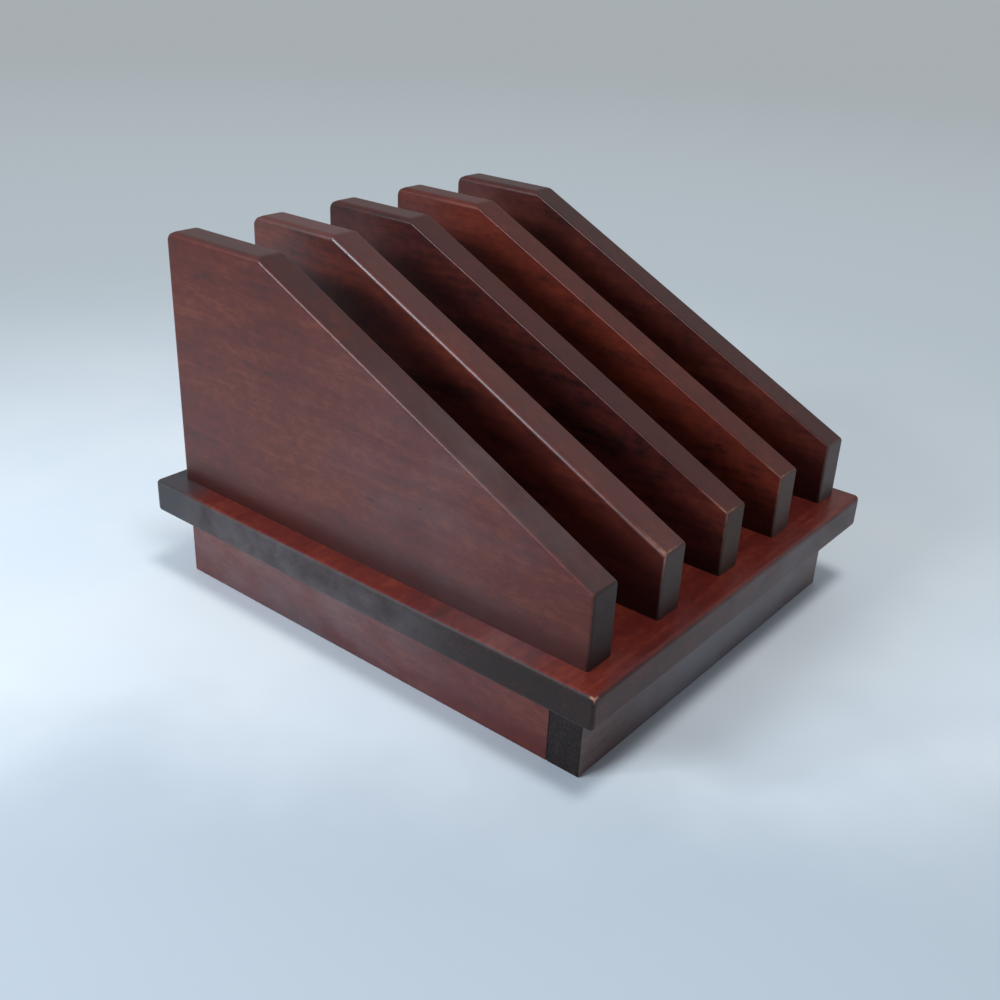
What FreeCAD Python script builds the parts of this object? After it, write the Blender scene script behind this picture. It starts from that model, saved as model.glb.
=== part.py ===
"""A hardwood stand that keeps photo albums upright on a shelf or desk.

Five upright dividers stand on a base board, which lies on a plinth: a frame of four butted rails with
a screwed block in each inner corner.  All of it is cut from one thickness of planed board.

Row frame, in millimetres: X runs across the row of dividers, -Y is the front with the low ends of the
dividers, +Z is up.  The origin is the middle of the base board's outline, on the surface that the
plinth stands on.
"""

import FreeCAD, Part
import os
import re

import Sketcher

SIZES = [
    # The dividers, and the gaps that the albums stand in
    ("divider_count", 5, "upright dividers"),
    ("divider_thickness", 19, "planed thickness"),
    ("slot_gap", 39.5, "clear width between two dividers"),
    ("divider_length", 288, "front to back"),
    ("divider_height", 145, "above the base board, at the back"),
    ("top_flat", 65, "level stretch of the top edge"),
    ("front_height", 36.5, "above the base board, at the front"),
    ("first_top_flat", 73, "the same stretch on the first divider, which is cut fuller"),
    ("first_front_height", 40, "front height of the first divider"),
    ("long_edge_round", 2.5, "routed edges of the dividers and the base board"),
    ("cross_edge_round", 1, "sanded corners across a divider's thickness"),
    ("rear_corner_round", 4, "the same at the top of its back, where a hand takes hold"),
    # The base board, as margins around the dividers
    ("board_thickness", 19, "planed thickness"),
    ("board_corner_round", 5, "its four corners, seen from above"),
    ("left_margin", 14, "base board left of the first divider"),
    ("right_margin", 10, "base board right of the last divider"),
    ("front_margin", 14, "base board in front of the dividers"),
    ("back_margin", 11, "base board behind the dividers"),
    # The plinth
    ("overhang", 14, "base board beyond the rails, all round"),
    ("rail_thickness", 19, "planed thickness"),
    ("rail_height", 41, "sawn width of the rails"),
    ("rail_edge_ease", 1, "sanded outer edges of the rails"),
    ("block_side", 28, "corner blocks, square in plan"),
    ("block_height", 38, "corner blocks, which bear on the base board and stop short of the shelf"),
    # The screws
    ("head_diameter", 8.2, "countersunk head"),
    ("head_height", 2.3, "cone of the head"),
    ("head_sunk", 0.4, "head below the wood's surface"),
    ("shank_diameter", 4.2, "plain part"),
    ("shank_length", 14, "from the head's face to the first thread"),
    ("core_diameter", 2.9, "root of the thread"),
    ("thread_diameter", 4.2, "crest of the thread"),
    ("thread_pitch", 3, "crest to crest"),
    ("point_length", 5, "tapered point"),
    ("drive_width", 4.4, "cross recess, tip to tip"),
    ("drive_slot", 1.1, "cross recess, width of an arm"),
    ("drive_depth", 1.7, "cross recess"),
    ("divider_screw_length", 45, "through the base board, up into a divider"),
    ("frame_screw_length", 40, "through a corner block, into a rail"),
    ("board_screw_length", 50, "up through a corner block, into the base board"),
    ("screw_row_inset", 36, "first and last divider screw, from the divider's ends"),
    ("divider_screws", 3, "screws in a row under each divider"),
    ("frame_screw_offset", 8, "frame screws, from the block's outer faces"),
    ("board_screw_offset", 19, "board screw, from the block's outer faces"),
    ("low_screw_height", 11, "frame screw into one rail, above the block's foot"),
    ("high_screw_height", 26, "frame screw into the other rail, above the block's foot"),
    ("screw_clearance", 0.1, "radial room around a screw"),
    ("tip_room", 1, "bored past a screw's point"),
]

CUT_PAST = 1  # a hole's cutter reaches this far outside the wood
HAIR = 0.001  # places nearer to each other than this count as one

CORNERS = ["front_left", "front_right", "rear_right", "rear_left"]  # anticlockwise, from above

doc = FreeCAD.newDocument("album_stand")
sheet = doc.addObject("Spreadsheet::Sheet", "sizes")
nodes = []


def fill_sheet():
    for row, (alias, value, note) in enumerate(SIZES, start=1):
        sheet.set(f"A{row}", alias)
        sheet.set(f"B{row}", str(value))
        sheet.set(f"C{row}", note)
        sheet.setAlias(f"B{row}", alias)
    doc.recompute()


def bound(expression):
    """The expression with each size's name written as a reference to the sheet."""
    names = {alias for alias, _, _ in SIZES}
    return re.sub(r"[a-z_]+", lambda m: "sizes." + m[0] if m[0] in names else m[0], expression)


def value_of(expression):
    return float(sheet.evalExpression(bound(expression)))


# Sketches and bodies -------------------------------------------------------------------------------


def new_body(label):
    body = doc.addObject("PartDesign::Body", label)
    body.Label = label
    return body


def origin_feature(body, role):
    return next(feature for feature in body.Origin.OriginFeatures if feature.Role == role)


def new_sketch(body, name, plane, at=("0", "0", "0")):
    """A sketch on one of the body's own origin planes, its origin moved by `at` in sketch axes."""
    sketch = body.newObject("Sketcher::SketchObject", f"{body.Name}_{name}")
    sketch.AttachmentSupport = [(origin_feature(body, plane), "")]
    sketch.MapMode = "FlatFace"
    for axis, expression in zip("xyz", at):
        if expression != "0":
            sketch.setExpression(f"AttachmentOffset.Base.{axis}", bound(expression))
    return sketch


def pin(sketch, geometry, point, across, up):
    """Holds one point of a sketch at expressions across and up from the sketch's origin.

    Sketcher numbers its horizontal axis -1 and its vertical axis -2, and the origin is point 1 of -1.
    """
    for expression, kind, axis in ((across, "DistanceX", -2), (up, "DistanceY", -1)):
        if expression == "0":
            sketch.addConstraint(Sketcher.Constraint("PointOnObject", geometry, point, axis))
            continue
        value = value_of(expression)
        index = sketch.addConstraint(Sketcher.Constraint(kind, -1, 1, geometry, point, value))
        sketch.setExpression(f"Constraints[{index}]", bound(expression))


def outline(sketch, corners):
    """A closed outline of straight lines through corners given as pairs of expressions."""
    places = [FreeCAD.Vector(value_of(across), value_of(up), 0) for across, up in corners]
    count = len(corners)
    for i in range(count):
        sketch.addGeometry(Part.LineSegment(places[i], places[(i + 1) % count]))
    for i in range(count):
        sketch.addConstraint(Sketcher.Constraint("Coincident", i, 2, (i + 1) % count, 1))
    for i, (across, up) in enumerate(corners):
        pin(sketch, i, 1, across, up)


def circle(sketch, across, up, diameter):
    centre = FreeCAD.Vector(value_of(across), value_of(up), 0)
    index = sketch.addGeometry(Part.Circle(centre, FreeCAD.Vector(0, 0, 1), value_of(diameter) / 2))
    pin(sketch, index, 3, across, up)
    size = sketch.addConstraint(Sketcher.Constraint("Diameter", index, value_of(diameter)))
    sketch.setExpression(f"Constraints[{size}]", bound(diameter))


def pad(body, sketch, length):
    feature = body.newObject("PartDesign::Pad", f"{body.Name}_pad")
    feature.Profile = sketch
    feature.setExpression("Length", bound(length))
    doc.recompute()


def slab(body, half_width, half_depth, height, more_left="0", more_right="0"):
    """A rectangular block that stands on the body's XY plane, centred on its origin.

    more_left and more_right lengthen it along X.
    """
    plan = new_sketch(body, "plan", "XY_Plane")
    left = f"-{half_width} - {more_left}"
    right = f"{half_width} + {more_right}"
    outline(plan, [
        (left, f"-{half_depth}"),
        (right, f"-{half_depth}"),
        (right, half_depth),
        (left, half_depth),
    ])
    pad(body, plan, height)


def pocket(body, sketch, depth):
    """Cuts along the sketch's normal, into the solid above it."""
    feature = body.newObject("PartDesign::Pocket", f"{sketch.Name}_pocket")
    feature.Profile = sketch
    feature.Reversed = True
    feature.setExpression("Length", bound(depth))
    return feature


def full_turn(body, kind, sketch, axis):
    """The sketch turned about one of its own axes: kind is Revolution, or Groove to cut it away."""
    feature = body.newObject(f"PartDesign::{kind}", f"{sketch.Name}_turned")
    feature.Profile = sketch
    feature.ReferenceAxis = (sketch, [axis])
    feature.Angle = 360
    doc.recompute()
    return feature


def fillet(body, edges_wanted, radius):
    """Rounds the edges of the body's present solid that edges_wanted picks."""
    base = body.Tip
    picked = [f"Edge{i}" for i, edge in enumerate(base.Shape.Edges, start=1) if edges_wanted(edge)]
    feature = body.newObject("PartDesign::Fillet", f"{base.Name}_fillet")
    feature.Base = (base, picked)
    feature.setExpression("Radius", bound(radius))
    doc.recompute()


def row_of(body, feature, axis, step, count):
    """A straight row of a feature's copies, as one transformation of a MultiTransform."""
    row = doc.addObject("PartDesign::LinearPattern", f"{feature.Name}_row")
    row.Direction = (origin_feature(body, axis), [""])
    row.setExpression("Length", bound(f"({step}) * ({count} - 1)"))
    row.setExpression("Occurrences", bound(count))
    return row


def mirror_of(body, feature, plane):
    copy = doc.addObject("PartDesign::Mirrored", f"{feature.Name}_mirror")
    copy.MirrorPlane = (origin_feature(body, plane), [""])
    return copy


def repeat(body, feature, transformations):
    pattern = body.newObject("PartDesign::MultiTransform", f"{feature.Name}_repeat")
    pattern.Originals = [feature]
    for step in transformations:
        body.addObject(step)
    pattern.Transformations = transformations
    body.Tip = pattern
    doc.recompute()


def place(piece, x, y, z, turn=FreeCAD.Rotation()):
    piece.Placement = FreeCAD.Placement(FreeCAD.Vector(), turn)
    for axis, expression in zip("xyz", (x, y, z)):
        piece.setExpression(f"Placement.Base.{axis}", bound(expression))
    nodes.append(piece)


def about_z(degrees):
    return FreeCAD.Rotation(FreeCAD.Vector(0, 0, 1), degrees)


# Expressions that several pieces share ----------------------------------------------------------------

PITCH = "(divider_thickness + slot_gap)"
BOARD_WIDTH = f"(left_margin + {PITCH} * (divider_count - 1) + divider_thickness + right_margin)"
BOARD_DEPTH = "(front_margin + divider_length + back_margin)"
LEFT_EDGE = f"-{BOARD_WIDTH} / 2"
FRONT_EDGE = f"-{BOARD_DEPTH} / 2"
BOARD_TOP = "(rail_height + board_thickness)"
DIVIDER_FRONT = f"({FRONT_EDGE} + front_margin)"
SCREW_STEP = "((divider_length - 2 * screw_row_inset) / (divider_screws - 1))"
CLEARED_SHANK = "(shank_diameter / 2 + screw_clearance)"
CLEARED_HEAD = "(head_diameter / 2 + screw_clearance)"
PILOT_BORE = "(thread_diameter + 2 * screw_clearance)"
PLINTH_WIDTH = f"({BOARD_WIDTH} - 2 * overhang)"
PLINTH_DEPTH = f"({BOARD_DEPTH} - 2 * overhang)"
BLOCK_HALF = "(block_side / 2)"
BLOCK_FOOT = "(rail_height - block_height)"


def bore_profile(length):
    """Radius and depth along a countersunk through hole, from outside the wood to past its far face."""
    return [
        ("0", f"-{CUT_PAST}"),
        (CLEARED_HEAD, f"-{CUT_PAST}"),
        (CLEARED_HEAD, "head_sunk"),
        (CLEARED_SHANK, "head_sunk + head_height"),
        (CLEARED_SHANK, f"{length} + {CUT_PAST}"),
        ("0", f"{length} + {CUT_PAST}"),
    ]


# The wooden pieces ------------------------------------------------------------------------------------


def stands_upright(edge):
    """An edge at one of the base board's four corners."""
    return abs(edge.Vertexes[0].Z - edge.Vertexes[-1].Z) > HAIR


def make_base_board():
    """A glued-up panel with every edge routed round, bored from below for the dividers' screws."""
    body = new_body("base_board")
    slab(body, f"{BOARD_WIDTH} / 2", f"{BOARD_DEPTH} / 2", "board_thickness")
    fillet(body, stands_upright, "board_corner_round")
    fillet(body, lambda edge: not stands_upright(edge), "long_edge_round")

    first_x = f"{LEFT_EDGE} + left_margin + divider_thickness / 2"
    first_y = f"{DIVIDER_FRONT} + screw_row_inset"
    bore = new_sketch(body, "divider_bore", "XZ_Plane", (first_x, "0", f"-({first_y})"))
    outline(bore, bore_profile("board_thickness"))
    cut = full_turn(body, "Groove", bore, "V_Axis")
    repeat(body, cut, [
        row_of(body, cut, "X_Axis", PITCH, "divider_count"),
        row_of(body, cut, "Y_Axis", SCREW_STEP, "divider_screws"),
    ])

    reach = "overhang + rail_thickness + board_screw_offset"
    pilot = new_sketch(body, "block_pilot", "XY_Plane")
    circle(pilot, f"{LEFT_EDGE} + {reach}", f"{FRONT_EDGE} + {reach}", PILOT_BORE)
    into_board = "board_screw_length + head_sunk - block_height + tip_room"
    cut = pocket(body, pilot, into_board)
    repeat(body, cut, [
        mirror_of(body, cut, "YZ_Plane"),
        mirror_of(body, cut, "XZ_Plane"),
    ])
    place(body, "0", "0", "rail_height")


def runs_along_face(edge):
    """An edge of a divider's big faces, apart from the two at its foot."""
    ends = [vertex.Point for vertex in edge.Vertexes]
    level = len(ends) == 2 and abs(ends[0].x - ends[1].x) < HAIR
    return level and max(end.z for end in ends) > HAIR


def crosses_thickness(edge):
    """An edge from one big face of a divider to the other, apart from the two at its foot."""
    ends = [vertex.Point for vertex in edge.Vertexes]
    return abs(ends[0].x - ends[1].x) > HAIR and min(end.z for end in ends) > HAIR


def at_back(edge):
    """An edge in the plane of a divider's back."""
    return all(abs(vertex.Y - value_of("divider_length")) < HAIR for vertex in edge.Vertexes)


def make_divider(number, top_flat, front_height):
    """A board with a long slope, its edges routed round except at the foot, bored for three screws."""
    body = new_body(f"divider_{number}")
    side = new_sketch(body, "side", "YZ_Plane")
    outline(side, [
        ("0", "0"),
        ("divider_length", "0"),
        ("divider_length", "divider_height"),
        (f"divider_length - {top_flat}", "divider_height"),
        ("0", front_height),
    ])
    pad(body, side, "divider_thickness")
    fillet(body, lambda edge: crosses_thickness(edge) and not at_back(edge), "cross_edge_round")
    fillet(body, lambda edge: crosses_thickness(edge) and at_back(edge), "rear_corner_round")
    fillet(body, runs_along_face, "long_edge_round")

    pilot = new_sketch(body, "pilot", "XY_Plane")
    circle(pilot, "divider_thickness / 2", "screw_row_inset", PILOT_BORE)
    cut = pocket(body, pilot, "divider_screw_length + head_sunk - board_thickness + tip_room")
    repeat(body, cut, [row_of(body, cut, "Y_Axis", SCREW_STEP, "divider_screws")])
    place(body, f"{LEFT_EDGE} + left_margin + {PITCH} * {number - 1}", DIVIDER_FRONT, BOARD_TOP)


def make_rail(label, clear_length, left_lap, right_lap, x, y, degrees):
    """A rail of the plinth: its length along local X, its inner face towards local +Y.

    clear_length lies between the two rails that meet it.  Each end then runs on by its lap, which is
    0 where that end butts against the other rail's inner face.
    """
    body = new_body(label)
    half = f"({clear_length}) / 2"
    slab(body, half, "rail_thickness / 2", "rail_height", left_lap, right_lap)
    outer = -value_of("rail_thickness") / 2

    def exposed(edge):
        ends = [vertex.Point for vertex in edge.Vertexes]
        outside = all(abs(end.y - outer) < HAIR for end in ends)
        low = all(end.z < HAIR for end in ends)
        upright = abs(ends[0].z - ends[1].z) > HAIR
        lap = left_lap if ends[0].x < 0 else right_lap
        return outside and (low or (upright and lap != "0"))

    fillet(body, exposed, "rail_edge_ease")

    reach = f"({half} - frame_screw_offset)"
    depth = "frame_screw_length + head_sunk - block_side + tip_room"
    for name, across, up in (("low", reach, "low_screw_height"), ("high", f"-{reach}", "high_screw_height")):
        pilot = new_sketch(body, f"{name}_pilot", "XZ_Plane", ("0", "0", "-rail_thickness / 2"))
        circle(pilot, across, f"{BLOCK_FOOT} + {up}", PILOT_BORE)
        pocket(body, pilot, depth)
        doc.recompute()
    place(body, x, y, "0", about_z(degrees))


def make_plinth_rails():
    """The front rail covers the side rails' ends, and the rear rail stands between the side rails."""
    front_y = f"{PLINTH_DEPTH} / 2 - rail_thickness / 2"
    side_x = f"{PLINTH_WIDTH} / 2 - rail_thickness / 2"
    clear_width = f"{PLINTH_WIDTH} - 2 * rail_thickness"
    clear_depth = f"{PLINTH_DEPTH} - 2 * rail_thickness"
    lap = "rail_thickness"
    make_rail("front_rail", clear_width, lap, lap, "0", f"-({front_y})", 0)
    make_rail("right_rail", clear_depth, "0", lap, side_x, "0", 90)
    make_rail("rear_rail", clear_width, "0", "0", "0", front_y, 180)
    make_rail("left_rail", clear_depth, lap, "0", f"-({side_x})", "0", 270)


def corner_centre(index):
    """Where the block in that corner of the plinth has its middle."""
    x = f"({PLINTH_WIDTH} / 2 - rail_thickness - {BLOCK_HALF})"
    y = f"({PLINTH_DEPTH} / 2 - rail_thickness - {BLOCK_HALF})"
    signs = [(-1, -1), (1, -1), (1, 1), (-1, 1)][index]
    return f"{signs[0]} * {x}", f"{signs[1]} * {y}"


def make_corner_block(index):
    """A glue block.  Its local -X and -Y faces bear on the two rails, and its top on the base board."""
    body = new_body(f"corner_block_{CORNERS[index]}")
    slab(body, BLOCK_HALF, BLOCK_HALF, "block_height")
    near = f"frame_screw_offset - {BLOCK_HALF}"
    up_at = f"board_screw_offset - {BLOCK_HALF}"
    inward = [(f"{BLOCK_HALF} - ({depth})", radius) for radius, depth in bore_profile("block_side")]
    low = new_sketch(body, "low_bore", "XY_Plane", ("0", near, "low_screw_height"))
    outline(low, inward)
    full_turn(body, "Groove", low, "H_Axis")
    high = new_sketch(body, "high_bore", "XY_Plane", (near, "0", "high_screw_height"))
    outline(high, [(radius, along) for along, radius in inward])
    full_turn(body, "Groove", high, "V_Axis")
    upward = new_sketch(body, "upward_bore", "XZ_Plane", (up_at, "0", f"-({up_at})"))
    outline(upward, bore_profile("block_height"))
    full_turn(body, "Groove", upward, "V_Axis")
    x, y = corner_centre(index)
    place(body, x, y, BLOCK_FOOT, about_z(90 * index))


# The screws -------------------------------------------------------------------------------------------


def make_screw(name, length):
    """A countersunk wood screw: the middle of its head's face is its origin, and it points along +Z."""
    body = new_body(name)
    shape = new_sketch(body, "shape", "XZ_Plane")
    outline(shape, [
        ("0", "0"),
        ("head_diameter / 2", "0"),
        ("shank_diameter / 2", "head_height"),
        ("shank_diameter / 2", "shank_length"),
        ("core_diameter / 2", "shank_length"),
        ("core_diameter / 2", f"{length} - point_length"),
        ("0", length),
    ])
    full_turn(body, "Revolution", shape, "V_Axis")

    crest = new_sketch(body, "crest", "XZ_Plane", ("0", "shank_length", "0"))
    inside = "core_diameter / 4"
    outline(crest, [
        (inside, "thread_pitch / 4"),
        ("core_diameter / 2", "thread_pitch / 4"),
        ("thread_diameter / 2", "thread_pitch / 2"),
        ("core_diameter / 2", "thread_pitch * 3 / 4"),
        (inside, "thread_pitch * 3 / 4"),
    ])
    ridge = full_turn(body, "Revolution", crest, "V_Axis")
    turns = f"floor(({length} - point_length - shank_length) / thread_pitch)"
    repeat(body, ridge, [row_of(body, ridge, "Z_Axis", "thread_pitch", turns)])

    drive = new_sketch(body, "drive", "XY_Plane")
    arm, slot = "drive_width / 2", "drive_slot / 2"
    quarter = [(arm, slot), (slot, slot), (slot, arm)]
    corners = []
    for across_sign, up_sign in (("", ""), ("-", ""), ("-", "-"), ("", "-")):
        signed = [(across_sign + across, up_sign + up) for across, up in quarter]
        corners += signed if across_sign == up_sign else reversed(signed)
    outline(drive, corners)
    pocket(body, drive, "drive_depth")
    doc.recompute()
    return body


def put_screw(kind, label, x, y, z, turn=FreeCAD.Rotation()):
    """One screw of that kind in its hole: a compound of the screw's body, with a place of its own."""
    screw = doc.addObject("Part::Compound", label)
    screw.Label = label
    screw.Links = [kind]
    place(screw, x, y, z, turn)


def fit_divider_screws(kind):
    """From below, through the base board and up into each divider."""
    for number in range(1, round(value_of("divider_count")) + 1):
        x = f"{LEFT_EDGE} + left_margin + {PITCH} * {number - 1} + divider_thickness / 2"
        for i in range(round(value_of("divider_screws"))):
            y = f"{DIVIDER_FRONT} + screw_row_inset + {SCREW_STEP} * {i}"
            put_screw(kind, f"divider_{number}_screw_{i + 1}", x, y, "rail_height + head_sunk")


def fit_corner_screws(index, frame_screw, board_screw):
    """Three screws through one corner block: one into each rail, and one up into the base board."""
    turn = about_z(90 * index)
    x, y = corner_centre(index)
    face = f"({BLOCK_HALF} - head_sunk)"
    near = f"(frame_screw_offset - {BLOCK_HALF})"
    up_at = f"(board_screw_offset - {BLOCK_HALF})"
    cosine, sine = [(1, 0), (0, 1), (-1, 0), (0, -1)][index]

    def in_row_frame(across, along):
        """A point given in the block's own axes."""
        return (
            f"{x} + {cosine} * {across} - {sine} * {along}",
            f"{y} + {sine} * {across} + {cosine} * {along}",
        )

    x_low, y_low = in_row_frame(face, near)
    x_high, y_high = in_row_frame(near, face)
    x_up, y_up = in_row_frame(up_at, up_at)
    z_low = f"{BLOCK_FOOT} + low_screw_height"
    z_high = f"{BLOCK_FOOT} + high_screw_height"
    z_up = f"{BLOCK_FOOT} + head_sunk"
    towards_minus_x = FreeCAD.Rotation(FreeCAD.Vector(0, 1, 0), -90)
    towards_minus_y = FreeCAD.Rotation(FreeCAD.Vector(1, 0, 0), 90)
    corner = CORNERS[index]
    put_screw(frame_screw, f"block_screw_low_{corner}", x_low, y_low, z_low, turn * towards_minus_x)
    put_screw(frame_screw, f"block_screw_high_{corner}", x_high, y_high, z_high, turn * towards_minus_y)
    put_screw(board_screw, f"block_screw_up_{corner}", x_up, y_up, z_up, turn)


# Checks and files -------------------------------------------------------------------------------------


def check_document():
    for item in doc.Objects:
        if "Invalid" in item.State or "Error" in item.State:
            raise RuntimeError(f"{item.Label} did not build: {item.State}")
    for piece in nodes:
        if piece.Shape.isNull() or not piece.Shape.isValid() or not piece.Shape.Solids:
            raise RuntimeError(f"{piece.Label} has no sound shape")


def write_parts():
    os.makedirs("parts", exist_ok=True)
    for piece in nodes:
        piece.Shape.exportStep(os.path.join("parts", f"{piece.Label}.step"))


fill_sheet()
make_base_board()
make_divider(1, "first_top_flat", "first_front_height")
for divider_number in range(2, round(value_of("divider_count")) + 1):
    make_divider(divider_number, "top_flat", "front_height")
make_plinth_rails()
fit_divider_screws(make_screw("divider_screw", "divider_screw_length"))
frame_screw = make_screw("frame_screw", "frame_screw_length")
board_screw = make_screw("board_screw", "board_screw_length")
for corner_index in range(len(CORNERS)):
    make_corner_block(corner_index)
    fit_corner_screws(corner_index, frame_screw, board_screw)
doc.recompute()
check_document()
write_parts()
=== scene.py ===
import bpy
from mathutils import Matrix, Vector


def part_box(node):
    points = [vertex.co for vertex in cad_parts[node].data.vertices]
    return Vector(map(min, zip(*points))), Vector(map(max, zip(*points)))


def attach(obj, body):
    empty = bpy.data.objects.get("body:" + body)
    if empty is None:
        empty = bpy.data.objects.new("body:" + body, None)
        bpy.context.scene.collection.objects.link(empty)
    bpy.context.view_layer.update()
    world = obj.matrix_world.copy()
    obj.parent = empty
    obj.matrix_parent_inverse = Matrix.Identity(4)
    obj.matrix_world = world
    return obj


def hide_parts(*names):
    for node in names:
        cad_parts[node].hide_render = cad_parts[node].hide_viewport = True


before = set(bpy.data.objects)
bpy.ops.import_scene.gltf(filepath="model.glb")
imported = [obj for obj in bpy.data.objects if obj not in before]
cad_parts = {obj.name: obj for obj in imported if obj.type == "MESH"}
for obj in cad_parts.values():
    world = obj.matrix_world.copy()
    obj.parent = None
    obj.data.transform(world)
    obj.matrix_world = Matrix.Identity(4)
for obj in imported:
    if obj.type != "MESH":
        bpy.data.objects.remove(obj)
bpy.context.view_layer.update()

import math

import bmesh
import bpy
from mathutils import Quaternion, Vector

scene = bpy.context.scene
scene.view_settings.view_transform = "Standard"

# THE VIEW ------------------------------------------------------------------------------------------
# The stand is seen from in front of its left front corner and from above, as one looks down at a
# thing on a table.  The camera is held a little out of level.

camera_lens = bpy.data.cameras.new("camera")
camera_lens.sensor_width = 36
camera_lens.lens = 42.12
camera = bpy.data.objects.new("camera", camera_lens)
camera.location = (-0.4931, -0.3765, 0.3609)
looked_at = Vector((0.0001, 0.0096, 0.0485))
tilt = Quaternion((0, 0, 1), math.radians(2.8))
camera.rotation_mode = "QUATERNION"
camera.rotation_quaternion = (looked_at - camera.location).to_track_quat("-Z", "Y") @ tilt
scene.collection.objects.link(camera)
scene.camera = camera

# FLOOR AND LIGHT -----------------------------------------------------------------------------------
# A pale cloth lies under the stand and reaches out of sight.  Two panes of a window light it from the
# left, a soft lamp from overhead, and a pale room from all round.

BACKDROP_TONE = (0.39, 0.425, 0.45, 1)


def add_node(tree, kind, inputs=None, **settings):
    """A node of that kind.  inputs gives its sockets, by name or number, a value or another's output."""
    node = tree.nodes.new(kind)
    for name, value in settings.items():
        setattr(node, name, value)
    for key, value in (inputs or {}).items():
        if isinstance(value, bpy.types.NodeSocket):
            tree.links.new(value, node.inputs[key])
        else:
            node.inputs[key].default_value = value
    return node


def calculate(tree, operation, *values):
    return add_node(tree, "ShaderNodeMath", dict(enumerate(values)), operation=operation).outputs[0]


def on_vectors(tree, operation, *values, output="Vector"):
    node = add_node(tree, "ShaderNodeVectorMath", dict(enumerate(values)), operation=operation)
    return node.outputs[output]


def smooth_step(tree, value, low, high):
    """0 where value is low or beyond, 1 where it is high or beyond, and an easy rise between."""
    inputs = {"Value": value, "From Min": low, "From Max": high}
    return add_node(tree, "ShaderNodeMapRange", inputs, interpolation_type="SMOOTHSTEP").outputs[0]


def mixed(tree, share, first, second):
    """A colour that is first, or second where share is 1."""
    node = add_node(tree, "ShaderNodeMix", data_type="RGBA")
    for name, value in (("Factor_Float", share), ("A_Color", first), ("B_Color", second)):
        socket = next(s for s in node.inputs if s.identifier == name)
        if isinstance(value, bpy.types.NodeSocket):
            tree.links.new(value, socket)
        else:
            socket.default_value = value
    return next(s for s in node.outputs if s.identifier == "Result_Color")


def noise_of(tree, place, per_metre, detail=2, roughness=0.5):
    """Soft noise with so many bumps to the metre along each axis."""
    inputs = {
        "Vector": on_vectors(tree, "MULTIPLY", place, per_metre),
        "Scale": 1, "Detail": detail, "Roughness": roughness,
    }
    return add_node(tree, "ShaderNodeTexNoise", inputs).outputs["Fac"]


def seen_directly(tree):
    """1 for what the camera sees, also mirrored or through glass, and 0 for the light that it sheds."""
    path = add_node(tree, "ShaderNodeLightPath").outputs
    seen = calculate(tree, "MAXIMUM", path["Is Camera Ray"], path["Is Glossy Ray"])
    return calculate(tree, "MAXIMUM", seen, path["Is Transmission Ray"])


floor_mesh = bmesh.new()
bmesh.ops.create_grid(floor_mesh, x_segments=1, y_segments=1, size=9)
floor_data = bpy.data.meshes.new("floor")
floor_mesh.to_mesh(floor_data)
floor_mesh.free()
floor = bpy.data.objects.new("floor", floor_data)
scene.collection.objects.link(floor)

cloth = bpy.data.materials.new("pale floor cloth")
cloth.use_nodes = True
tree = cloth.node_tree
place = add_node(tree, "ShaderNodeTexCoord").outputs["Object"]
# painted shade: the cloth is coloured darker towards the front of the view, where less light falls on it
painted_front_shade = on_vectors(tree, "DOT_PRODUCT", place, (-0.79, -0.62, 0), output="Value")
painted_front_shade = calculate(tree, "MULTIPLY_ADD", noise_of(tree, place, (9, 9, 9), 3), 0.12, painted_front_shade)
cloud = smooth_step(tree, noise_of(tree, place, (6, 6, 6), 3), 0.3, 0.7)
bright = mixed(tree, cloud, (0.79, 0.89, 0.96, 1), (0.85, 0.94, 0.98, 1))
cloth_colour = mixed(tree, smooth_step(tree, painted_front_shade, 0.15, 0.33), bright, (0.55, 0.64, 0.71, 1))
shader = tree.nodes["Principled BSDF"]
tree.links.new(cloth_colour, shader.inputs["Base Color"])
shader.inputs["Roughness"].default_value = 0.9
shader.inputs["Specular IOR Level"].default_value = 0.1

# far off, where the lamps do not reach, the cloth shows the plain tone of a backdrop
outwards = on_vectors(tree, "SUBTRACT", place, (-0.14, 0, 0))
from_middle = on_vectors(tree, "LENGTH", outwards, output="Value")
backdrop_share = calculate(tree, "MULTIPLY", seen_directly(tree), smooth_step(tree, from_middle, 0.22, 0.9))
far_tone = mixed(tree, smooth_step(tree, from_middle, 0.5, 3), (0.45, 0.515, 0.565, 1), BACKDROP_TONE)
backdrop = add_node(tree, "ShaderNodeEmission", {"Color": far_tone}).outputs[0]
both = add_node(tree, "ShaderNodeMixShader", {0: backdrop_share, 1: shader.outputs[0], 2: backdrop})
tree.links.new(both.outputs[0], tree.nodes["Material Output"].inputs["Surface"])
floor_data.materials.append(cloth)


def add_lamp(name, place, aim, size, power, colour):
    light = bpy.data.lights.new(name, "AREA")
    light.shape = "RECTANGLE"
    light.size, light.size_y = size
    light.energy = power
    light.color = colour
    lamp = bpy.data.objects.new(name, light)
    lamp.location = place
    lamp.rotation_euler = (Vector(aim) - Vector(place)).to_track_quat("-Z", "Y").to_euler()
    lamp.visible_camera = False
    scene.collection.objects.link(lamp)
    return lamp


DAYLIGHT = (0.84, 0.90, 1.0)
LAMPLIGHT = (1.0, 0.99, 0.98)
add_lamp("window", (-1.36, 0.36, 0.87), (0, 0, 0.15), (0.47, 0.35), 10.5, DAYLIGHT)
add_lamp("far window pane", (-1.20, 0.74, 0.77), (0, 0, 0.15), (0.20, 0.30), 6, DAYLIGHT)
overhead_lamp = add_lamp("overhead", (-0.22, -0.38, 1.85), (0, 0, 0.1), (0.40, 0.40), 12.5, LAMPLIGHT)
overhead_lamp.visible_glossy = False

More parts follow.
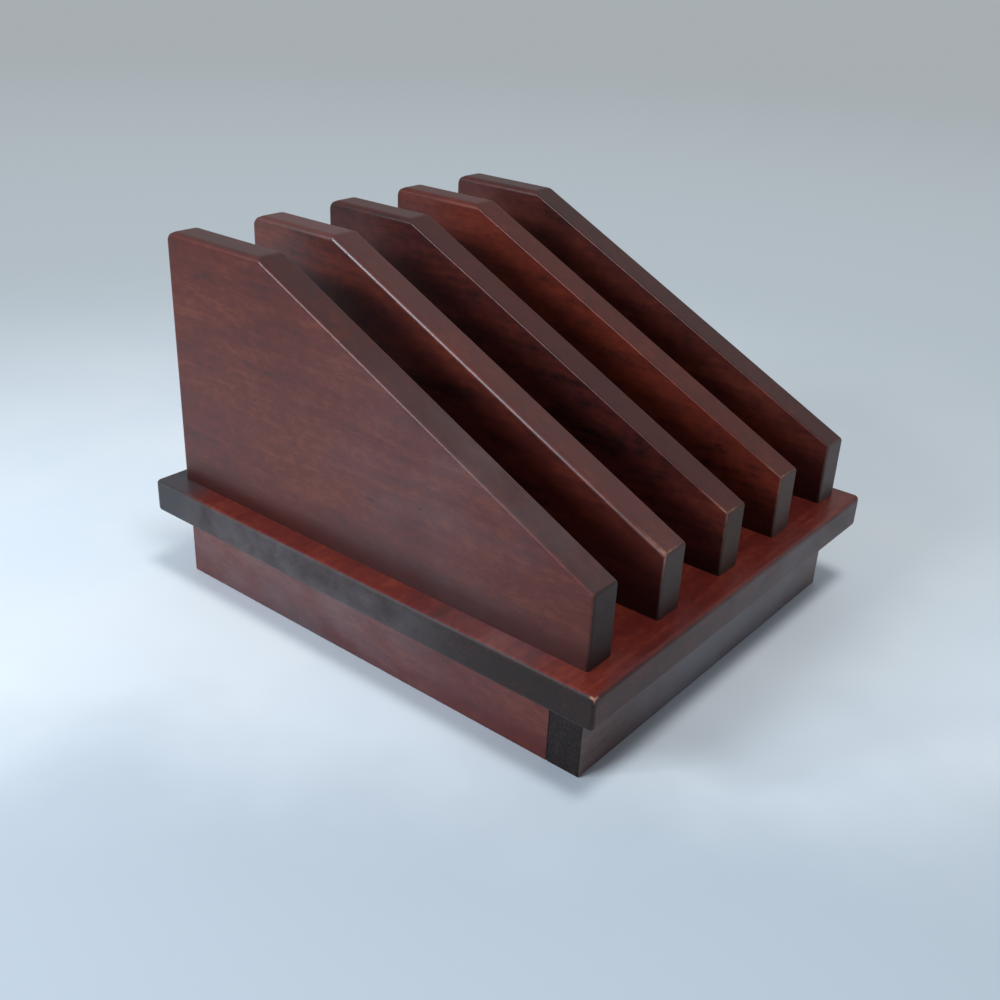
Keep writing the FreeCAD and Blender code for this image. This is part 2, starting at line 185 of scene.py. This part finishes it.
room = bpy.data.worlds.new("room")
room.use_nodes = True
scene.world = room
tree = room.node_tree
towards = add_node(tree, "ShaderNodeTexCoord").outputs["Generated"]
near_wall = on_vectors(tree, "DOT_PRODUCT", towards, (0.66, 0.45, 0.60), output="Value")
glow = mixed(tree, smooth_step(tree, near_wall, 0.55, 0.95), (0.26, 0.27, 0.30, 1), (0.46, 0.465, 0.48, 1))
in_front = on_vectors(tree, "DOT_PRODUCT", towards, (-0.60, -0.78, 0.20), output="Value")
glow = mixed(tree, smooth_step(tree, in_front, 0.3, 1.0), glow, (0.12, 0.12, 0.14, 1))
glow = mixed(tree, seen_directly(tree), glow, BACKDROP_TONE)
tree.links.new(glow, tree.nodes["Background"].inputs["Color"])

# BASE BOARD ----------------------------------------------------------------------------------------
# A panel of red-stained, varnished hardwood with its grain across the row of dividers.  Its edges are
# routed round and took the stain darker.  Screw holes are bored and countersunk in its underside.


def new_group(name, inputs, outputs):
    """An empty shader node group, with the sockets of its input and output nodes."""
    tree = bpy.data.node_groups.new(name, "ShaderNodeTree")
    for label, kind, value in inputs:
        socket = tree.interface.new_socket(label, in_out="INPUT", socket_type=f"NodeSocket{kind}")
        socket.default_value = value
    for label, kind in outputs:
        tree.interface.new_socket(label, in_out="OUTPUT", socket_type=f"NodeSocket{kind}")
    return tree, add_node(tree, "NodeGroupInput").outputs, add_node(tree, "NodeGroupOutput").inputs


def weighed(tree, *parts):
    """The sum of values, each times its weight."""
    total = 0.0
    for value, weight in parts:
        total = calculate(tree, "MULTIPLY_ADD", value, weight, total)
    return total


def make_hardwood_group():
    """Solid wood under stain and varnish, in metres.

    Log place is the place in the log, whose pith is the X axis.  Grain says which way that axis points
    on the piece, and Broad side which way its planed faces look.
    """
    tree, given, result = new_group(
        "stained hardwood",
        [("Log place", "Vector", (0, 0, 0)), ("Normal", "Vector", (0, 0, 1)),
         ("Grain", "Vector", (1, 0, 0)), ("Broad side", "Vector", (0, 0, 1)),
         ("Dark stain", "Color", (0.040, 0.010, 0.008, 1)), ("Red stain", "Color", (0.110, 0.020, 0.012, 1)),
         ("Amber stain", "Color", (0.17, 0.042, 0.016, 1)), ("Edge stain", "Color", (0.050, 0.022, 0.019, 1)),
         ("End stain", "Color", (0.020, 0.013, 0.012, 1)), ("Ring width", "Float", 0.005),
         ("Haze", "Float", 0.0), ("Edge haze", "Float", 0.0), ("Wear", "Float", 0.0),
         ("Painted foot shade", "Float", 0.0), ("Grime", "Float", 0.0), ("Nick", "Float", 0.0)],
        [("Color", "Color"), ("Roughness", "Float"), ("Height", "Float")],
    )
    straight = given["Log place"]
    bend = {"Vector": on_vectors(tree, "MULTIPLY", straight, (7, 14, 14)), "Scale": 1, "Detail": 2}
    bend = add_node(tree, "ShaderNodeTexNoise", bend).outputs["Color"]
    bend = on_vectors(tree, "MULTIPLY", on_vectors(tree, "SUBTRACT", bend, (0.5, 0.5, 0.5)), (0, 0.02, 0.02))
    place = on_vectors(tree, "ADD", straight, bend)

    # rings about the pith
    across_log = on_vectors(tree, "LENGTH", on_vectors(tree, "MULTIPLY", place, (0, 1, 1)), output="Value")
    ring = calculate(tree, "FRACT", calculate(tree, "DIVIDE", across_log, given["Ring width"]))
    late_wood = calculate(tree, "POWER", ring, 2)

    # uneven take-up of the stain, from broad clouds to single fibres and pores
    cloud = noise_of(tree, place, (11, 24, 24), 3, 0.55)
    mottle = noise_of(tree, place, (60, 120, 120), 3, 0.6)
    streak = noise_of(tree, place, (7, 150, 150), 4, 0.65)
    figure = noise_of(tree, place, (150, 260, 260), 3, 0.6)
    fibre = noise_of(tree, place, (30, 700, 700), 3, 0.6)
    speck = noise_of(tree, place, (900, 1300, 1300), 2, 0.7)
    cells = on_vectors(tree, "MULTIPLY", place, (110, 800, 800))
    cells = add_node(tree, "ShaderNodeTexVoronoi", {"Vector": cells, "Scale": 1}).outputs["Distance"]
    pore = smooth_step(tree, cells, 0.30, 0.12)

    # how far a face looks away from the broad side, out of the grain's end, and across an edge
    along = on_vectors(tree, "DOT_PRODUCT", given["Normal"], given["Grain"], output="Value")
    end = smooth_step(tree, calculate(tree, "ABSOLUTE", along), 0.45, 0.90)
    broad = on_vectors(tree, "DOT_PRODUCT", given["Normal"], given["Broad side"], output="Value")
    narrow = smooth_step(tree, calculate(tree, "ABSOLUTE", broad), 0.93, 0.50)
    turned = {"Vector": on_vectors(tree, "ABSOLUTE", given["Normal"])}
    turned = add_node(tree, "ShaderNodeSeparateXYZ", turned).outputs
    flatness = calculate(tree, "MAXIMUM", calculate(tree, "MAXIMUM", turned[0], turned[1]), turned[2])
    edge = smooth_step(tree, flatness, 0.92, 0.78)

    coarse = weighed(tree, (cloud, 0.9), (mottle, 0.3), (streak, 0.8), (late_wood, -0.05))
    tone = weighed(tree, (figure, 0.7), (fibre, 0.25), (speck, 0.35), (coarse, 1))
    colour = mixed(tree, smooth_step(tree, tone, 1.57, 1.95), given["Red stain"], given["Amber stain"])
    colour = mixed(tree, smooth_step(tree, tone, 1.64, 1.20), colour, given["Dark stain"])
    colour = mixed(tree, calculate(tree, "MULTIPLY", pore, 0.12), colour, given["Dark stain"])
    # painted shade: the dark stain is mixed in towards the foot
    colour = mixed(tree, given["Painted foot shade"], colour, given["Dark stain"])
    uneven = smooth_step(tree, weighed(tree, (mottle, 0.9), (figure, 0.5), (fibre, 0.5)), 0.60, 1.25)
    took = calculate(tree, "MULTIPLY_ADD", uneven, -0.55, 1)
    colour = mixed(tree, calculate(tree, "MULTIPLY", narrow, took), colour, given["Edge stain"])
    open_grain = smooth_step(tree, weighed(tree, (fibre, 0.5), (speck, 0.5)), 0.40, 0.62)
    took = calculate(tree, "MULTIPLY_ADD", open_grain, -0.35, 1)
    colour = mixed(tree, calculate(tree, "MULTIPLY", end, took), colour, given["End stain"])
    # painted sheen: a pale grey veil in blotches over the colour, where the varnish would mirror the pale
    # room
    blotch = noise_of(tree, place, (26, 40, 40), 3, 0.6)
    sheen_blotches = smooth_step(tree, weighed(tree, (blotch, 1), (speck, 0.3)), 0.20, 1.10)
    flat = calculate(tree, "SUBTRACT", 1, narrow)
    haze = weighed(tree, (given["Haze"], flat), (given["Edge haze"], narrow))
    colour = mixed(tree, calculate(tree, "MULTIPLY", haze, sheen_blotches), colour, (0.195, 0.178, 0.192, 1))
    # painted dark reflection: a dark grey patch mixed into the colour
    colour = mixed(tree, given["Grime"], colour, (0.044, 0.041, 0.046, 1))
    colour = mixed(tree, given["Nick"], colour, (0.012, 0.011, 0.018, 1))
    # partly rubbed-through stain and partly a painted highlight: a pale warm colour on rounded edges
    rubbed_and_glinting = calculate(tree, "MULTIPLY", given["Wear"], calculate(tree, "MULTIPLY", edge, uneven))
    colour = mixed(tree, rubbed_and_glinting, colour, (0.42, 0.20, 0.13, 1))
    tree.links.new(colour, result["Color"])

    tree.links.new(weighed(tree, (1, 0.30), (cloud, 0.10), (end, 0.15), (narrow, 0.08)), result["Roughness"])
    sag = noise_of(tree, place, (18, 40, 40), 2)
    peel = noise_of(tree, place, (450, 450, 450), 2)
    tree.links.new(weighed(tree, (sag, 0.00009), (peel, 0.000004)), result["Height"])
    return tree


hardwood = make_hardwood_group()
ALONG = {"X": (0, 0, 0), "Y": (0, 0, -math.pi / 2)}
TOWARDS = {"X": (1, 0, 0), "Y": (0, 1, 0), "Z": (0, 0, 1)}


NICK_REACH = 0.0006  # half the height of a nick


def stained(name, grain, broad_side, log, shine=0.4, painted_foot_shade=None, nicks=(), **finish):
    """The stand's finish on one board.

    grain and broad_side name axes of the stand, and log is the board's place in its tree.  painted_foot_shade
    is the lowest and highest place of a painted shade that darkens the piece towards its foot, and nicks are
    the middle and half the length of each small dent along Y.  haze, edge_haze, grime and
    wear are spots, each an amount, a middle, and the distances at which it is full and gone.  The first
    three are painted light, and wear is partly rubbed edges and partly a painted highlight.  The rest of
    finish are stains, and end_stain is also a painted reflection on the later dividers.
    """
    material = bpy.data.materials.new(name)
    material.use_nodes = True
    tree = material.node_tree
    shader = tree.nodes["Principled BSDF"]
    seen = add_node(tree, "ShaderNodeTexCoord").outputs
    log_place = {"Vector": seen["Object"], "Location": log, "Rotation": ALONG[grain]}
    wood = add_node(tree, "ShaderNodeGroup", node_tree=hardwood, name="wood")
    tree.links.new(add_node(tree, "ShaderNodeMapping", log_place).outputs[0], wood.inputs["Log place"])
    tree.links.new(seen["Normal"], wood.inputs["Normal"])
    wood.inputs["Grain"].default_value = TOWARDS[grain]
    wood.inputs["Broad side"].default_value = TOWARDS[broad_side]
    if painted_foot_shade:
        # painted shade that darkens the piece towards its foot
        height = on_vectors(tree, "DOT_PRODUCT", seen["Object"], TOWARDS["Z"], output="Value")
        foot_shade_share = calculate(tree, "MULTIPLY", smooth_step(tree, height, painted_foot_shade[1], painted_foot_shade[0]), 0.85)
        tree.links.new(foot_shade_share, wood.inputs["Painted foot shade"])
    nicked = 0.0
    for middle, half_length in nicks:
        away = on_vectors(tree, "SUBTRACT", seen["Object"], middle)
        away = on_vectors(tree, "MULTIPLY", away, (1, NICK_REACH / half_length, 1))
        away = on_vectors(tree, "LENGTH", away, output="Value")
        nicked = calculate(tree, "MAXIMUM", nicked, smooth_step(tree, away, NICK_REACH, 0))
    if nicks:
        tree.links.new(nicked, wood.inputs["Nick"])
    for part, value in finish.items():
        socket = wood.inputs[part.replace("_", " ").capitalize()]
        if part.endswith("stain"):
            socket.default_value = (*value, 1)
            continue
        amount, middle, full, gone = value
        away = on_vectors(tree, "SUBTRACT", seen["Object"], middle)
        away = on_vectors(tree, "LENGTH", away, output="Value")
        tree.links.new(calculate(tree, "MULTIPLY", smooth_step(tree, away, gone, full), amount), socket)
    tree.links.new(wood.outputs["Color"], shader.inputs["Base Color"])
    tree.links.new(wood.outputs["Roughness"], shader.inputs["Roughness"])
    shader.inputs["Specular IOR Level"].default_value = shine
    bump = add_node(tree, "ShaderNodeBump", {"Height": wood.outputs["Height"], "Strength": 1, "Distance": 1})
    tree.links.new(bump.outputs[0], shader.inputs["Normal"])
    return material


def block_between(low, high):
    """A box from its lowest to its highest corner, still to be worked."""
    solid = bmesh.new()
    bmesh.ops.create_cube(solid, size=1)
    bmesh.ops.scale(solid, vec=high - low, verts=solid.verts)
    bmesh.ops.translate(solid, vec=(low + high) / 2, verts=solid.verts)
    return solid


def lies_along(edge, axis):
    """True if an edge runs along that axis: 0, 1 or 2."""
    run = edge.verts[1].co - edge.verts[0].co
    return abs(run[axis]) > 0.999 * run.length


WIDEST_ROUND = 0.009
HEAD_HOLE = 0.0042  # radius of a countersink at the screw's head
HEAD_DEPTH = 0.0023
SHANK_HOLE = 0.0022  # radius
PAST_HEAD = 0.003
PAST_TIP = 0.001
HAIR = 0.000001  # places nearer to each other than this count as one


def add_bore(bores, low, high):
    """The hole of a screw in the box from low to high, from outside its head to past its point."""
    longest = max(range(3), key=lambda axis: high[axis] - low[axis])
    length = (high - low)[longest]
    middle = (low + high) / 2
    points_to = Vector((0, 0, 0))
    points_to[longest] = 1 if longest == 2 else math.copysign(1, middle[longest])
    head = middle - points_to * length / 2
    sideways = points_to.orthogonal().normalized()
    profile = [(0, -PAST_HEAD), (HEAD_HOLE, -PAST_HEAD), (HEAD_HOLE, 0), (SHANK_HOLE, HEAD_DEPTH),
               (SHANK_HOLE, length + PAST_TIP), (0, length + PAST_TIP)]
    verts = [bores.verts.new(head + points_to * depth + sideways * radius) for radius, depth in profile]
    edges = [bores.edges.new(pair) for pair in zip(verts, verts[1:])]
    bmesh.ops.spin(
        bores, geom=verts + edges, cent=head, axis=points_to, angle=math.tau, steps=24, use_merge=True)


def holes_in(node):
    """The holes of all screws that reach into a node, as one solid to cut away."""
    low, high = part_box(node)
    bores = bmesh.new()
    for screw in sorted(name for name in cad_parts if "screw" in name):
        start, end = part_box(screw)
        if all(start[axis] < high[axis] and end[axis] > low[axis] for axis in range(3)):
            add_bore(bores, start, end)
    bmesh.ops.remove_doubles(bores, verts=bores.verts, dist=HAIR)
    bmesh.ops.recalc_face_normals(bores, faces=bores.faces)
    return bores


def as_object(solid, name):
    mesh = bpy.data.meshes.new(name)
    solid.to_mesh(mesh)
    solid.free()
    made = bpy.data.objects.new(name, mesh)
    scene.collection.objects.link(made)
    return made


def work_piece(solid, node, rounding, material):
    """The finished piece for a node: its edges rounded by what rounding says of each, its holes bored."""
    weight = solid.edges.layers.float.new("bevel_weight_edge")
    for edge in solid.edges:
        edge[weight] = rounding(edge) / WIDEST_ROUND
    rough = as_object(solid, node + "_rough")
    router = rough.modifiers.new("rounded edges", "BEVEL")
    router.limit_method = "WEIGHT"
    router.width = WIDEST_ROUND
    router.segments = 6
    router.use_clamp_overlap = False
    drill = as_object(holes_in(node), node + "_holes")
    drilled = rough.modifiers.new("screw holes", "BOOLEAN")
    drilled.operation = "DIFFERENCE"
    drilled.solver = "EXACT"
    drilled.object = drill
    mesh = bpy.data.meshes.new_from_object(rough.evaluated_get(bpy.context.evaluated_depsgraph_get()))
    for used in (rough, drill):
        bpy.data.meshes.remove(used.data)

    mesh.shade_smooth()
    mesh.set_sharp_from_angle(angle=math.radians(40))
    mesh.materials.clear()
    mesh.materials.append(material)
    mesh.name = f"stained_{node}"
    piece = bpy.data.objects.new(mesh.name, mesh)
    scene.collection.objects.link(piece)
    flat = piece.modifiers.new("flat faces", "WEIGHTED_NORMAL")
    flat.keep_sharp = True
    flat.weight = 100
    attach(piece, "root")
    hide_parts(node)


BOARD_EDGE_ROUND = 0.0026
BOARD_CORNER_ROUND = 0.005
FRONT_LEFT_ROUND = 0.002


def board_rounding(edge):
    """Its corners are rounded too, the front left one least."""
    if not lies_along(edge, 2):
        return BOARD_EDGE_ROUND
    at = edge.verts[0].co
    return FRONT_LEFT_ROUND if at.x < 0 and at.y < 0 else BOARD_CORNER_ROUND


board = block_between(*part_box("base_board"))
# The board's finish carries painted light: a painted sheen that greys its left edge and the top beside it, a
# painted dark reflection at the rear left corner, and a painted highlight at the front left corner.
board_finish = stained(
    "base board finish", "X", "Z", (0.31, 0.12, 0.02), shine=0.36,
    haze=(0.4, (-0.14, -0.09, 0.06), 0, 0.06), edge_haze=(0.50, (-0.14, -0.16, 0.05), 0.15, 0.05),
    wear=(1.2, (-0.1375, -0.1555, 0.059), 0.001, 0.0035), grime=(0.95, (-0.1385, 0.1565, 0.06), 0.018, 0.048),
    red_stain=(0.125, 0.017, 0.013),
    amber_stain=(0.19, 0.034, 0.017), dark_stain=(0.070, 0.012, 0.010),
    edge_stain=(0.027, 0.013, 0.009), end_stain=(0.011, 0.007, 0.006))
work_piece(board, "base_board", board_rounding, board_finish)

# DIVIDERS ------------------------------------------------------------------------------------------
# Five uprights of the same stock, their grain from front to back.  Each is sawn to its slope, routed
# round along its edges, stained, and held by screws that come up through the base board.
# The first is cut a little fuller than the rest.

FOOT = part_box("divider_1")[0].z
REAR_EDGE_ROUND = 0.003
FRONT_EDGE_ROUND = 0.0018
TOP_EDGE_ROUND = 0.0035
SLOPE_RIGHT_ROUND = 0.0025
ACROSS_ROUND = 0.0015  # where two narrow faces meet, but for the upper rear corner


def make_divider(number, top_flat, front_height, rear_round, slope_round, material):
    low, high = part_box(f"divider_{number}")
    outline = [
        (low.y, low.z), (high.y, low.z), (high.y, high.z),
        (high.y - top_flat, high.z), (low.y, low.z + front_height),
    ]
    solid = bmesh.new()
    side = solid.faces.new([solid.verts.new((low.x, y, z)) for y, z in outline])
    pushed = bmesh.ops.extrude_face_region(solid, geom=[side])["geom"]
    moved = [part for part in pushed if isinstance(part, bmesh.types.BMVert)]
    bmesh.ops.translate(solid, vec=(high.x - low.x, 0, 0), verts=moved)
    bmesh.ops.recalc_face_normals(solid, faces=solid.faces)

    def rounding(edge):
        a, b = (vert.co for vert in edge.verts)
        middle = (a + b) / 2
        at_rear = middle.y > high.y - HAIR
        if min(a.z, b.z) < low.z + HAIR and not lies_along(edge, 2):
            return 0
        if lies_along(edge, 0):
            return rear_round if at_rear else ACROSS_ROUND
        if lies_along(edge, 2):
            return REAR_EDGE_ROUND if at_rear else FRONT_EDGE_ROUND
        if lies_along(edge, 1):
            return TOP_EDGE_ROUND
        return slope_round if middle.x < (low.x + high.x) / 2 else SLOPE_RIGHT_ROUND

    work_piece(solid, f"divider_{number}", rounding, material)


# Each divider is darkened towards its foot by a painted shade.
make_divider(1, top_flat=0.073, front_height=0.040, rear_round=0.007, slope_round=0.0022, material=stained(
    "divider 1 finish", "Y", "X", (0.1, 0.16, 0.03), shine=0.38, painted_foot_shade=(FOOT, FOOT + 0.028),
    nicks=[((-0.1245, -0.0067, 0.0990), 0.0050), ((-0.1245, -0.0397, 0.1057), 0.0028)],
    haze=(0.22, (-0.125, -0.05, 0.118), 0, 0.12), edge_haze=(0.30, (-0.115, -0.09, 0.135), 0.01, 0.13),
    red_stain=(0.096, 0.015, 0.010),
    amber_stain=(0.14, 0.031, 0.015), dark_stain=(0.045, 0.011, 0.009),
    edge_stain=(0.056, 0.023, 0.020), end_stain=(0.020, 0.006, 0.003)))
# On dividers 2 to 4 a pale spot at the lower end of the slope's near edge is partly a rubbed edge and partly
# a painted highlight.
make_divider(2, top_flat=0.065, front_height=0.0365, rear_round=0.009, slope_round=0.0030, material=stained(
    "divider 2 finish", "Y", "X", (1.2, 0.14, 0.10), shine=0.7, painted_foot_shade=(FOOT, FOOT + 0.05),
    wear=(0.8, (-0.066, -0.14, 0.097), 0, 0.02), red_stain=(0.090, 0.016, 0.011),
    amber_stain=(0.16, 0.029, 0.014), dark_stain=(0.009, 0.005, 0.005),
    edge_stain=(0.085, 0.019, 0.014), end_stain=(0.030, 0.012, 0.008)))
# From the third divider on, the end stains grow lighter and greyer to the right: painted reflection of the
# brighter room on that side, over the end grain's dark stain.
make_divider(3, top_flat=0.065, front_height=0.0365, rear_round=0.007, slope_round=0.0012, material=stained(
    "divider 3 finish", "Y", "X", (1.8, 0.15, 0.15), shine=0.35, painted_foot_shade=(FOOT, FOOT + 0.02),
    wear=(0.6, (-0.0075, -0.14, 0.097), 0, 0.02), red_stain=(0.068, 0.013, 0.010),
    amber_stain=(0.12, 0.022, 0.013), dark_stain=(0.010, 0.005, 0.005),
    edge_stain=(0.066, 0.017, 0.013), end_stain=(0.062, 0.037, 0.027)))
make_divider(4, top_flat=0.065, front_height=0.0365, rear_round=0.007, slope_round=0.0010, material=stained(
    "divider 4 finish", "Y", "X", (2.9, 0.15, 0.12), shine=0.35, painted_foot_shade=(FOOT, FOOT + 0.03),
    wear=(0.6, (0.051, -0.14, 0.097), 0, 0.02), red_stain=(0.115, 0.018, 0.010),
    amber_stain=(0.17, 0.029, 0.013), dark_stain=(0.025, 0.007, 0.005),
    edge_stain=(0.072, 0.016, 0.011), end_stain=(0.092, 0.060, 0.049)))
make_divider(5, top_flat=0.065, front_height=0.0365, rear_round=0.007, slope_round=0.0010, material=stained(
    "divider 5 finish", "Y", "X", (3.0, 0.19, 0.25), shine=0.4, painted_foot_shade=(FOOT, FOOT + 0.03),
    red_stain=(0.070, 0.013, 0.009), amber_stain=(0.12, 0.024, 0.013), dark_stain=(0.022, 0.006, 0.005),
    edge_stain=(0.050, 0.015, 0.011), end_stain=(0.110, 0.082, 0.076)))

# RAILS ---------------------------------------------------------------------------------------------
# Four lengths of the stock on edge make a plinth under the base board, butted at the corners, so that
# an end of the front rail shows.  Their arrises are only sanded.

SANDED = 0.0009


def make_rail(rail, grain, broad_side, log, **finish):
    material = stained(f"{rail} finish", grain, broad_side, log, **finish)
    work_piece(block_between(*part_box(rail)), rail, lambda edge: SANDED, material)


# The front rail's stains are greyed and carry a strong painted sheen: painted reflection of the pale floor in
# front of it.
make_rail("front_rail", "X", "Y", (0.2, 0.15, 0.03), shine=0.26,
          haze=(1.9, (0.02, -0.1425, 0.02), 0.03, 0.14), red_stain=(0.145, 0.088, 0.080),
          amber_stain=(0.18, 0.11, 0.09), dark_stain=(0.09, 0.050, 0.046), end_stain=(0.004, 0.004, 0.004))
make_rail("left_rail", "Y", "X", (0.9, 0.16, 0.05), haze=(0.45, (-0.125, 0.04, 0.02), 0.03, 0.16),
          red_stain=(0.103, 0.016, 0.013), amber_stain=(0.15, 0.034, 0.020), dark_stain=(0.055, 0.013, 0.011))
make_rail("rear_rail", "X", "Y", (1.6, 0.15, 0.03))
make_rail("right_rail", "Y", "X", (2.3, 0.15, 0.03))

# CORNER BLOCKS -------------------------------------------------------------------------------------
# Square posts of bare softwood inside the plinth, as they came from the saw.  They are screwed to the
# rails and up into the base board, and tie the stand together where nobody looks.

sawn_wood = bpy.data.materials.new("sawn corner block")
sawn_wood.use_nodes = True
tree = sawn_wood.node_tree
place = add_node(tree, "ShaderNodeTexCoord").outputs["Object"]
growth = on_vectors(tree, "LENGTH", on_vectors(tree, "MULTIPLY", place, (1, 1, 0.02)), output="Value")
growth = weighed(tree, (growth, 340), (noise_of(tree, place, (12, 12, 3)), 4))
late_wood = calculate(tree, "POWER", calculate(tree, "FRACT", growth), 3)
fibre = noise_of(tree, place, (700, 700, 25), 3, 0.6)
saw_marks = noise_of(tree, place, (40, 40, 900), 2)
stain_of_age = smooth_step(tree, noise_of(tree, place, (45, 45, 20), 3), 0.40, 0.75)
dark_lines = smooth_step(tree, weighed(tree, (late_wood, 0.7), (fibre, 0.6)), 0.15, 0.95)
sawn_colour = mixed(tree, dark_lines, (0.55, 0.38, 0.22, 1), (0.36, 0.20, 0.10, 1))
sawn_colour = mixed(tree, calculate(tree, "MULTIPLY", stain_of_age, 0.5), sawn_colour, (0.30, 0.20, 0.13, 1))
shader = tree.nodes["Principled BSDF"]
tree.links.new(sawn_colour, shader.inputs["Base Color"])
tree.links.new(calculate(tree, "MULTIPLY_ADD", fibre, 0.25, 0.6), shader.inputs["Roughness"])
shader.inputs["Specular IOR Level"].default_value = 0.25
fuzz = weighed(tree, (saw_marks, 0.00012), (fibre, 0.00006), (late_wood, 0.00003))
fuzz = add_node(tree, "ShaderNodeBump", {"Height": fuzz, "Strength": 1, "Distance": 1})
tree.links.new(fuzz.outputs[0], shader.inputs["Normal"])

# SCREWS --------------------------------------------------------------------------------------------
# Zinc-plated steel wood screws with countersunk heads, driven from below and from inside the plinth.
# The plating is dull and a little cloudy, with darker drawn lines.

plated_steel = bpy.data.materials.new("zinc plated steel")
plated_steel.use_nodes = True
tree = plated_steel.node_tree
place = add_node(tree, "ShaderNodeTexCoord").outputs["Object"]
bloom = smooth_step(tree, noise_of(tree, place, (420, 420, 420), 3, 0.6), 0.35, 0.70)
drawn = noise_of(tree, place, (2600, 2600, 2600), 2)
shader = tree.nodes["Principled BSDF"]
tree.links.new(mixed(tree, bloom, (0.63, 0.63, 0.61, 1), (0.44, 0.43, 0.39, 1)), shader.inputs["Base Color"])
tree.links.new(weighed(tree, (bloom, 0.18), (drawn, 0.12), (1, 0.24)), shader.inputs["Roughness"])
shader.inputs["Metallic"].default_value = 1
worn = add_node(tree, "ShaderNodeBump", {"Height": drawn, "Strength": 1, "Distance": 0.00001})
tree.links.new(worn.outputs[0], shader.inputs["Normal"])

for name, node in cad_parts.items():
    if "screw" in name or "block" in name:
        node.data.materials.clear()
        node.data.materials.append(plated_steel if "screw" in name else sawn_wood)
